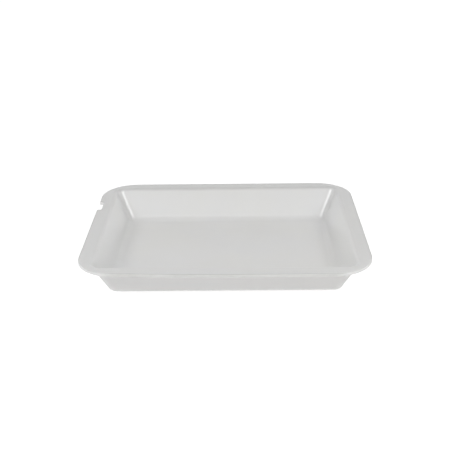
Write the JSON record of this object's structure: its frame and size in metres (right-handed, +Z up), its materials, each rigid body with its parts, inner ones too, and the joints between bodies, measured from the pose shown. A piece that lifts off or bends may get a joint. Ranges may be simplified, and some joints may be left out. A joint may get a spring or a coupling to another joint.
{
  "type": "developing tray",
  "caption": "Shallow rectangular darkroom tray with a flat floor, flared walls, a wide flat rim flange with large round corners, a turned-down lip and a small notch in the rim.",
  "frame": {"origin": "centre of the underside, on the surface that the tray rests on", "axes": "+X along the tray's length, +Y towards the back, on the side of the middle where the left rim's notch is, +Z up out of the open mouth"},
  "size_m": [0.34, 0.28, 0.043],
  "materials": {
    "tray_plastic": "natural milky white moulded plastic, slightly translucent, with a soft satin gloss"
  },
  "bodies": {
    "root": {"tray": "tray_plastic"}
  },
  "joints": []
}
